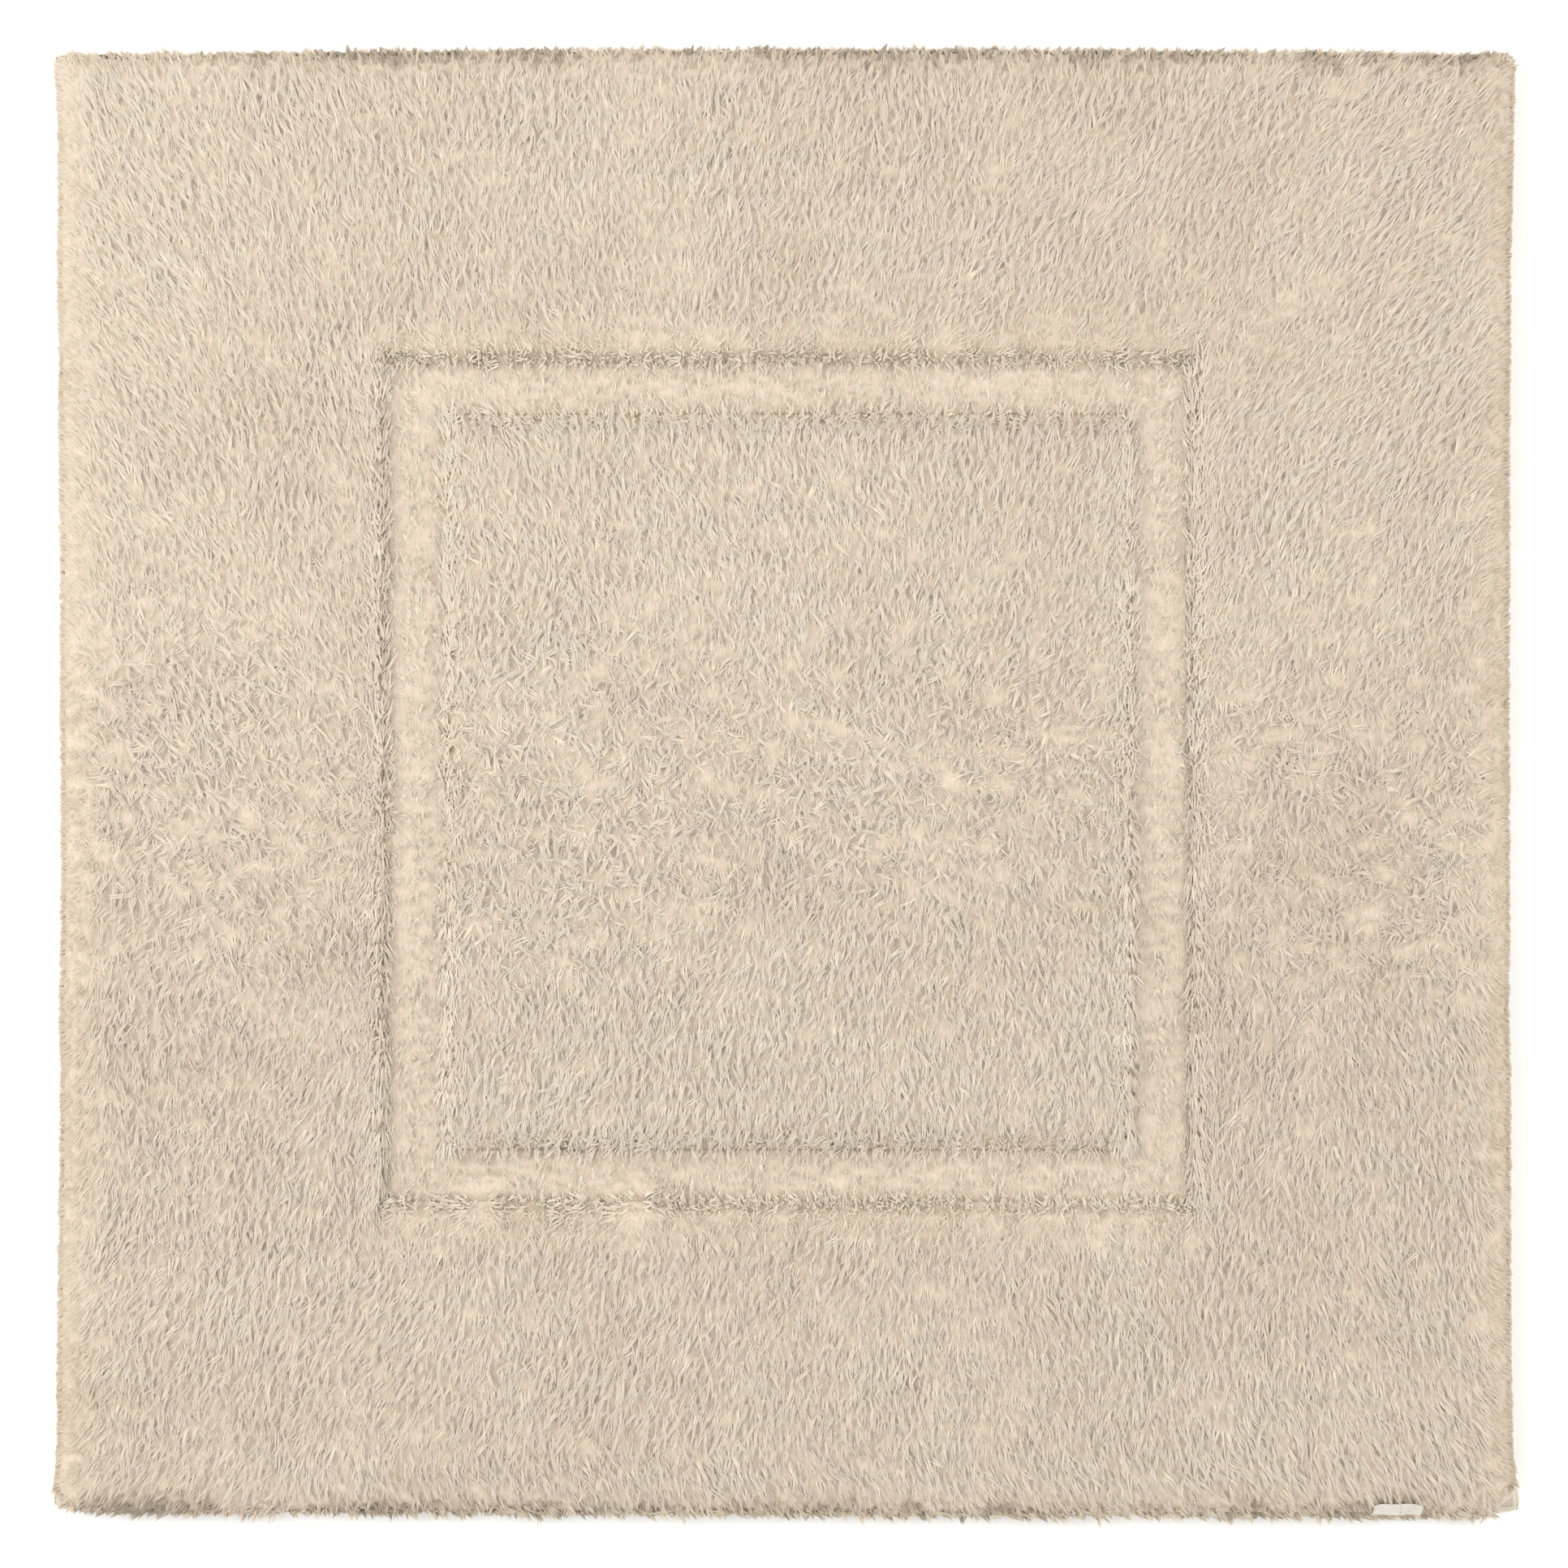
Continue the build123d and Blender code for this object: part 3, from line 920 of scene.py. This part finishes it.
def comb_over_edge(root_x, root_y, tip_x, tip_y, tip_z, air, start, shade):
    """Tips, way to open air, start and shade of the border's ends, as the mat's edge leaves them."""
    count = len(root_x)
    depth, out_x, out_y = pile_depth(root_x, root_y)
    over = reach_past_edge(out_x, out_y)
    share = 1 - ease((depth - EDGE_HOLD) / (EDGE_WIDTH - EDGE_HOLD))
    at_side, at_end = np.abs(out_x) > SQUARE_ON, np.abs(out_y) > SQUARE_ON
    sunk = at_end & (for_each_lock(count) < SUNK_BELOW)
    tip_x, tip_y = clump(tip_x, 0.6 * share * at_end), clump(tip_y, 0.3 * share * at_end)
    outward = (tip_x - root_x) * out_x + (tip_y - root_y) * out_y
    combed = EDGE_COMB * dice.uniform(0.7, 1.1, count) * np.where(sunk, 0.75, 1)
    change = share * (np.minimum(combed, depth + over) - outward)
    slant = -(tip_x - root_x) * out_y + (tip_y - root_y) * out_x
    straighten = -slant * share * np.where(at_side, 0.75, 0.15)
    tip_x += out_x * change - out_y * straighten
    tip_y += out_y * change + out_x * straighten

    outward = (tip_x - root_x) * out_x + (tip_y - root_y) * out_y
    past = np.maximum(outward - depth - over, 0)
    tip_x -= out_x * past
    tip_y -= out_y * past
    tip_z -= 0.92 * drop(depth - outward + past + 0.001, EDGE_ROUND) + SUNK_DROP * share * sunk
    tip_z *= np.where(depth < EDGE_HOLD, dice.uniform(0.45, 1, count), 1)
    start = np.where(depth < EDGE_WHOLE, 0.0, start)

    outwards = share * np.where(at_end, EDGE_TURN["end"], EDGE_TURN["side"])
    air = air + outwards[:, None] * np.stack([out_x, out_y, np.zeros(count)], axis=1)
    # Painted shade: front and back locks are painted darker, the sunk ones darkest; the sides a little
    # darker, the left most.
    painted_shade = np.where(sunk, -0.50, -0.36 + 0.08 * for_each_lock(count))
    painted_shade = np.where(at_end, painted_shade, -0.33 + 0.02 * out_x)
    shade = shade + painted_shade * (1 - ease((depth - PAINTED_SHADE_WIDTH / 2) / (PAINTED_SHADE_WIDTH / 2)))
    shade = np.clip(shade, np.where(at_end, 0.02, 0.15), 0.98)
    return tip_x, tip_y, tip_z, air, start, shade


# %% [markdown]
# The label's fold stands on the outermost ends of the front edge. They are pressed flat under it, and
# only their tips come out.

# %% Press the ends under the label
def press_under_label(root_x, root_y, tip_y, tip_z, start):
    """Root and tip places and start of the border's ends, flat where the label's fold lies on them."""
    count = len(root_x)
    pressed = (np.abs(root_x - LABEL_MIDDLE) < LABEL_HALF - 0.0002) & (root_y < -PILE[1] + 0.0040)
    root_y = np.where(pressed, -PILE[1] - 0.0008, root_y)
    tip_y = np.where(pressed, root_y - dice.uniform(0.0008, 0.0030, count), tip_y)
    tip_z = np.where(pressed, dice.uniform(0.0004, 0.0026, count), tip_z)
    return root_y, tip_y, tip_z, np.where(pressed, 0.0, start)


# %% [markdown]
# ## The walls of the sunken frame
# Beside the frame some high ends lean back and some hang over it, so that the wall between the two
# heights is soft and closed. Those that hang over come to rest on the low pile. The front and back walls
# are the shaggier ones, because the pile leans across them.

# %% Let the pile lean and hang at the frame's walls
WALL_WIDTH = 0.013        # of the strip where the wall has a say
WALL_ROUND = 0.0065
WALL_DROP = 0.0050        # from the high pile down to the low
WALL_HANG = {"side": 0.0030, "end": 0.0044}
WALL_WHOLE = 0.0045       # ends this near the wall are seen, and made, down to the cloth


def meet_wall(root_x, root_y, tip_x, tip_y, tip_z, start, wall, wall_x, wall_y):
    """Tips and start of high ends, as the wall leaves them: wall is how far in from it they stand."""
    count = len(root_x)
    near = 1 - ease(wall / WALL_WIDTH)
    away = (tip_x - root_x) * wall_x + (tip_y - root_y) * wall_y
    hang = np.where(np.abs(wall_y) > 0.5, WALL_HANG["end"], WALL_HANG["side"])
    hang += 0.0016 * waves(root_x, root_y, 0.009, 19) + 0.0010 * waves(root_x, root_y, 0.028, 20)
    hang = np.maximum(wall, 0) + hang + dice.normal(0, 0.0006, count)
    side = dice.uniform(-1, 1, count) - 0.4 * (1 - ease(wall / 0.004))
    wanted = np.where(side < 0, side * np.minimum(hang, 0.008), side * 0.007)
    change = near * (wanted - away)
    change += np.maximum(-(away + change) - hang, 0)
    tip_x += wall_x * change
    tip_y += wall_y * change
    tip_z -= np.minimum(drop(wall + away + change + 0.0015, WALL_ROUND), WALL_DROP)
    return tip_x, tip_y, tip_z, np.where(wall < WALL_WHOLE, 0.0, start)


# %% [markdown]
# ## The high pile
# The border and the centre share one recipe: free ends, which the mat's edge, the label and the walls
# then change. The shade drifts in patches of three sizes, and the centre is a little paler.

# %% Grow the high pile
BORDER_SHADE, CENTRE_SHADE = 0.52, 0.69
HIGH_KNEE = (0.08, 0.08, 0.7)      # where the knee is, as shares of the way from root to tip


def high_ends(x, y, in_the_border):
    """Handles, way to open air, start, radius and shade of every end in the high tufts at x and y."""
    height = HIGH_PILE + 0.0006 * waves(x, y, 0.03, 14) + dice.normal(0, 0.0005, len(x))
    shade = BORDER_SHADE if in_the_border else CENTRE_SHADE
    shade = shade + 0.15 * waves(x, y, 0.035, 15) + 0.13 * waves(x, y, 0.011, 18)
    shade += 0.08 * waves(x, y, 0.12, 16)
    root_x, root_y, tip_x, tip_y, tip_z, tilt, shade = free_ends(x, y, height, shade, 1, 1, 17)
    count = len(root_x)
    start = np.full(count, HIDDEN_SHARE)
    air = np.concatenate([tilt, np.ones((count, 1))], axis=1)
    if in_the_border:
        tip_x, tip_y, tip_z, air, start, shade = comb_over_edge(
            root_x, root_y, tip_x, tip_y, tip_z, air, start, shade)
        root_y, tip_y, tip_z, start = press_under_label(root_x, root_y, tip_y, tip_z, start)
        wall, wall_x, wall_y = depth_inside(root_x, root_y, FRAME)
        wall = -wall
    else:
        wall, wall_x, wall_y = depth_inside(root_x, root_y, CENTRE)
        wall_x, wall_y = -wall_x, -wall_y
    tip_x, tip_y, tip_z, start = meet_wall(
        root_x, root_y, tip_x, tip_y, tip_z, start, wall, wall_x, wall_y)
    radius = END_RADIUS * dice.uniform(0.8, 1.2, count)
    return *handles(root_x, root_y, tip_x, tip_y, tip_z, HIGH_KNEE), air, start, radius, shade


# %% [markdown]
# ## The low pile of the frame
# The tufts of the sunken frame are cut short, so they can't lean far. They stand up, pale and full, and
# the rows show as fine ribs from front to back, raised and painted lighter on their crests as painted
# light. The frame is painted a little lighter towards the right, painted light where the left panel
# reaches less, and against the side walls its tufts are painted darker in broken lengths, a painted
# crease shade.


# %% Grow the low pile
RIB_SPACING = 0.0056
RIB_RISE = 0.0009
WALL_RISE = 0.0011        # of the tufts beside the walls, which the high pile props up
LOW_HIDDEN_SHARE = 0.5
LOW_KNEE = (0.15, 0.15, 0.65)


def low_ends(x, y):
    """Handles, way to open air, start, radius and shade of every end in the low tufts at x and y."""
    ribs = np.cos(2 * math.pi * x / RIB_SPACING) * (np.abs(y) < FRAME[1])
    height = LOW_PILE + RIB_RISE * ribs + 0.0005 * waves(x, y, 0.02, 24) + dice.normal(0, 0.0005, len(x))
    # Painted light: the rib crests are painted lighter, and the frame lighter towards the right, where the
    # left panel's light reaches less.
    shade = 0.77 + 0.07 * ribs + 0.1 * waves(x, y, 0.03, 25) + 0.05 * x / MAT[0]
    shade += dice.normal(0, 0.04, len(x))
    # Painted shade: tufts against the side walls are painted darker in broken lengths, a painted crease
    # where the high pile shades them.
    painted_crease_shade = (FRAME[0] - np.abs(x) < 0.0016) & (waves(x, y, 0.014, 26) > -0.2)
    shade = np.where(painted_crease_shade, 0.36, shade)
    root_x, root_y, tip_x, tip_y, tip_z, tilt, shade = free_ends(x, y, height, shade, 0.5, 0.7, 20)
    count = len(root_x)
    past_wall = np.minimum(depth_inside(root_x, root_y, FRAME)[0], -depth_inside(root_x, root_y, CENTRE)[0])
    tip_z += WALL_RISE * (1 - ease(past_wall / 0.004))
    start = np.full(count, LOW_HIDDEN_SHARE)
    radius = END_RADIUS * 1.1 * dice.uniform(0.8, 1.2, count)
    air = np.concatenate([tilt, np.ones((count, 1))], axis=1)
    return *handles(root_x, root_y, tip_x, tip_y, tip_z, LOW_KNEE), air, start, radius, shade


# %% [markdown]
# ## The finish of cotton pile
# Undyed cotton is a warm cream. Along each end the colour is painted light: the deep part is painted
# warmer and nearly as light as the middle, for light that passes through the yarn, which lifts the shade
# between the ends, and the tips are a little paler. The lowest of the tones is painted shadow, for the
# gaps between the locks at the front and back edges. A sheen gives the soft edge light of loose fibre.


# %% The pile's material
# The cotton's own tones, except the lowest stop, which is painted shadow used only along the front and back
# edges.
PILE_TONES_AND_PAINTED_SHADE = [
    (0.0, (0.42, 0.36, 0.285)),
    (0.14, (0.79, 0.675, 0.535)),
    (0.3, (0.845, 0.75, 0.615)),
    (0.5, (0.865, 0.78, 0.65)),
    (0.7, (0.88, 0.805, 0.665)),
    (1.0, (0.92, 0.845, 0.715)),
]
# Painted light along each end: the deep part is painted warm and nearly as light as the middle, for light
# through the yarn.
DEEP_TO_TIP_PAINTED_LIGHT = [(0.0, (0.97, 0.92, 0.87)), (0.6, (0.99, 0.965, 0.945)), (1.0, (0.96, 0.945, 0.93))]


def cotton_pile_painted_light_and_shade():
    """The finish of the ends, from the two facts in their UV map."""
    material = plain_material("cotton_pile_painted_light_and_shade", (0.7, 0.6, 0.47), 0.95)
    nodes, links = material.node_tree.nodes, material.node_tree.links
    shader = nodes["Principled BSDF"]
    shader.inputs["Sheen Weight"].default_value = 0.25
    shader.inputs["Sheen Roughness"].default_value = 0.5
    shader.inputs["Specular IOR Level"].default_value = 0.2
    facts = nodes.new("ShaderNodeUVMap")
    facts.uv_map = "OFBake"
    split = nodes.new("ShaderNodeSeparateXYZ")
    links.new(facts.outputs["UV"], split.inputs["Vector"])
    shade = ramp(nodes, PILE_TONES_AND_PAINTED_SHADE)
    depth = ramp(nodes, DEEP_TO_TIP_PAINTED_LIGHT)
    links.new(split.outputs["X"], shade.inputs["Fac"])
    links.new(split.outputs["Y"], depth.inputs["Fac"])
    mix = nodes.new("ShaderNodeMix")
    mix.data_type = "RGBA"
    mix.blend_type = "MULTIPLY"
    mix.inputs["Factor"].default_value = 1
    links.new(shade.outputs["Color"], mix.inputs["A"])
    links.new(depth.outputs["Color"], mix.inputs["B"])
    links.new(mix.outputs["Result"], shader.inputs["Base Color"])
    return material


PILE_FINISH = cotton_pile_painted_light_and_shade()


# %% [markdown]
# ## Planting the pile
# A piece of pile is kept under 200,000 triangles, so the border's front and back are planted in three
# lengths each, the sides in two, and the centre in three. Each length stands for its CAD part.

# %% Plant every piece of pile
def plant(name, node, ends):
    """A piece of pile from the handles of its ends, standing for a CAD node."""
    whole = ends[4] < 0.01
    laid = [
        lay_ends(STRAIGHT_END, STRAIGHT_PLACES, STRAIGHT_WIDTHS, *(part[~whole] for part in ends)),
        lay_ends(BENT_END, BENT_PLACES, BENT_WIDTHS, *(part[whole] for part in ends)),
    ]
    piece = join_laid(name, [part for part in laid if len(part[0])])
    piece.data.materials.append(PILE_FINISH)
    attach(piece, "root")
    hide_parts(node)
    return piece


def lengths(x, y, along, cuts):
    """The given tufts divided into equal lengths along x or y."""
    place = x if along == "x" else y
    edges = np.linspace(place.min(), place.max() + 1e-6, cuts + 1)
    for low, high in zip(edges[:-1], edges[1:]):
        chosen = (place >= low) & (place < high)
        yield x[chosen], y[chosen]


BORDER_LEGS = {
    "front": (tuft_y < -FRAME[1], "x", 3),
    "back": (tuft_y > FRAME[1], "x", 3),
    "left": ((np.abs(tuft_y) <= FRAME[1]) & (tuft_x < 0), "y", 2),
    "right": ((np.abs(tuft_y) <= FRAME[1]) & (tuft_x > 0), "y", 2),
}
pile_pieces = []
for side, (chosen, along, cuts) in BORDER_LEGS.items():
    chosen = chosen & in_border
    for number, (x, y) in enumerate(lengths(tuft_x[chosen], tuft_y[chosen], along, cuts), 1):
        name = f"border_pile_{side}_{number}"
        pile_pieces.append(plant(name, f"border_pile_{side}", high_ends(x, y, True)))

for number, (x, y) in enumerate(lengths(tuft_x[in_centre], tuft_y[in_centre], "x", 3), 1):
    pile_pieces.append(plant(f"centre_pile_{number}", "centre_pile", high_ends(x, y, False)))

FRAME_LEGS = {
    "front": tuft_y < -CENTRE[1],
    "back": tuft_y > CENTRE[1],
    "left": (np.abs(tuft_y) <= CENTRE[1]) & (tuft_x < 0),
    "right": (np.abs(tuft_y) <= CENTRE[1]) & (tuft_x > 0),
}
for side, chosen in FRAME_LEGS.items():
    chosen = chosen & in_frame
    ends = low_ends(tuft_x[chosen], tuft_y[chosen])
    pile_pieces.append(plant(f"frame_pile_{side}_tufts", f"frame_pile_{side}", ends))

# %% [markdown]
# ## The body of the pile
# Below the locks the tufts are packed so tightly that they make one springy body. Growing each end from
# the cloth up would double the mesh for something nobody can see, so a closed, softly uneven bed fills
# that depth: a ring for the border, a ring for the frame and a block for the centre.


# %% Fill the depth of the pile
BED_SHARE = 0.73          # of the pile's height, up to which it is one body
BED_RISE = 0.006          # from the frame's wall to the bed's full height
BED_ROUGHNESS = 0.0004
BED_CELL = 0.0025
BED_INSET = 0.0008        # of the border's bed at the mat's edge
SET_BACK = 0.00004        # between two beds


def bed_shape(in_the_border, pile):
    """A function that gives a slab an uneven top, which falls to the frame's level at the frame."""
    low, height = LOW_PILE * BED_SHARE, pile * BED_SHARE

    def shape(points):
        x, y, upper = points[:, 0], points[:, 1], points[:, 2] > 0.5
        past_wall = -depth_inside(x, y, FRAME)[0] if in_the_border else depth_inside(x, y, CENTRE)[0]
        top = low + (height - low) * ease(past_wall / BED_RISE) + BED_ROUGHNESS * waves(x, y, 0.005, 31)
        if in_the_border:
            top -= drop(np.maximum(pile_depth(x, y)[0], -0.001), EDGE_ROUND)
        points[:, 2] = CLOTH_TOP + np.where(upper, np.maximum(top, 0.0001), 0)
        return points

    return shape


def packed_yarn_painted_shade():
    """The finish deep in the pile: painted shade, darker than the tips, and mottled in dashes along the
    rows.
    """
    material = plain_material("packed_yarn_painted_shade", (0.6, 0.48, 0.34), 0.95)
    nodes, links = material.node_tree.nodes, material.node_tree.links
    nodes["Principled BSDF"].inputs["Specular IOR Level"].default_value = 0.1
    # Painted shade: these tones are darker than the yarn's own, for the shade deep among the ends.
    tones = [(0.3, (0.60, 0.505, 0.405)), (0.7, (0.72, 0.62, 0.505))]
    dashes = mottled(nodes, links, 1 / 900, tones, detail=3, stretch=(1, 0.28, 1))
    raise_by(nodes, links, dashes, 0.0006)
    return material


BED_FINISH = packed_yarn_painted_shade()
BEDS = (
    ("border_pile_bed", PILE - BED_INSET, FRAME + SET_BACK, HIGH_PILE, "high_pile",
     [f"border_pile_{side}" for side in OUTWARD]),
    ("frame_pile_bed", FRAME - SET_BACK, CENTRE + SET_BACK, LOW_PILE, "low_pile",
     [f"frame_pile_{side}" for side in OUTWARD]),
    ("centre_pile_bed", CENTRE - SET_BACK, None, HIGH_PILE, "high_pile", ["centre_pile"]),
)
for name, outer, hole, pile, slot, nodes in BEDS:
    block = flat_block(outer, np.rint(outer / BED_CELL), hole)
    piece_from(name, block, bed_shape(name == "border_pile_bed", pile), BED_FINISH, nodes)

# %% Finish
triangles = [len(piece.data.loops) - 2 * len(piece.data.polygons) for piece in pile_pieces]
print("triangles in the pile:", sum(triangles), "and in its largest piece:", max(triangles))
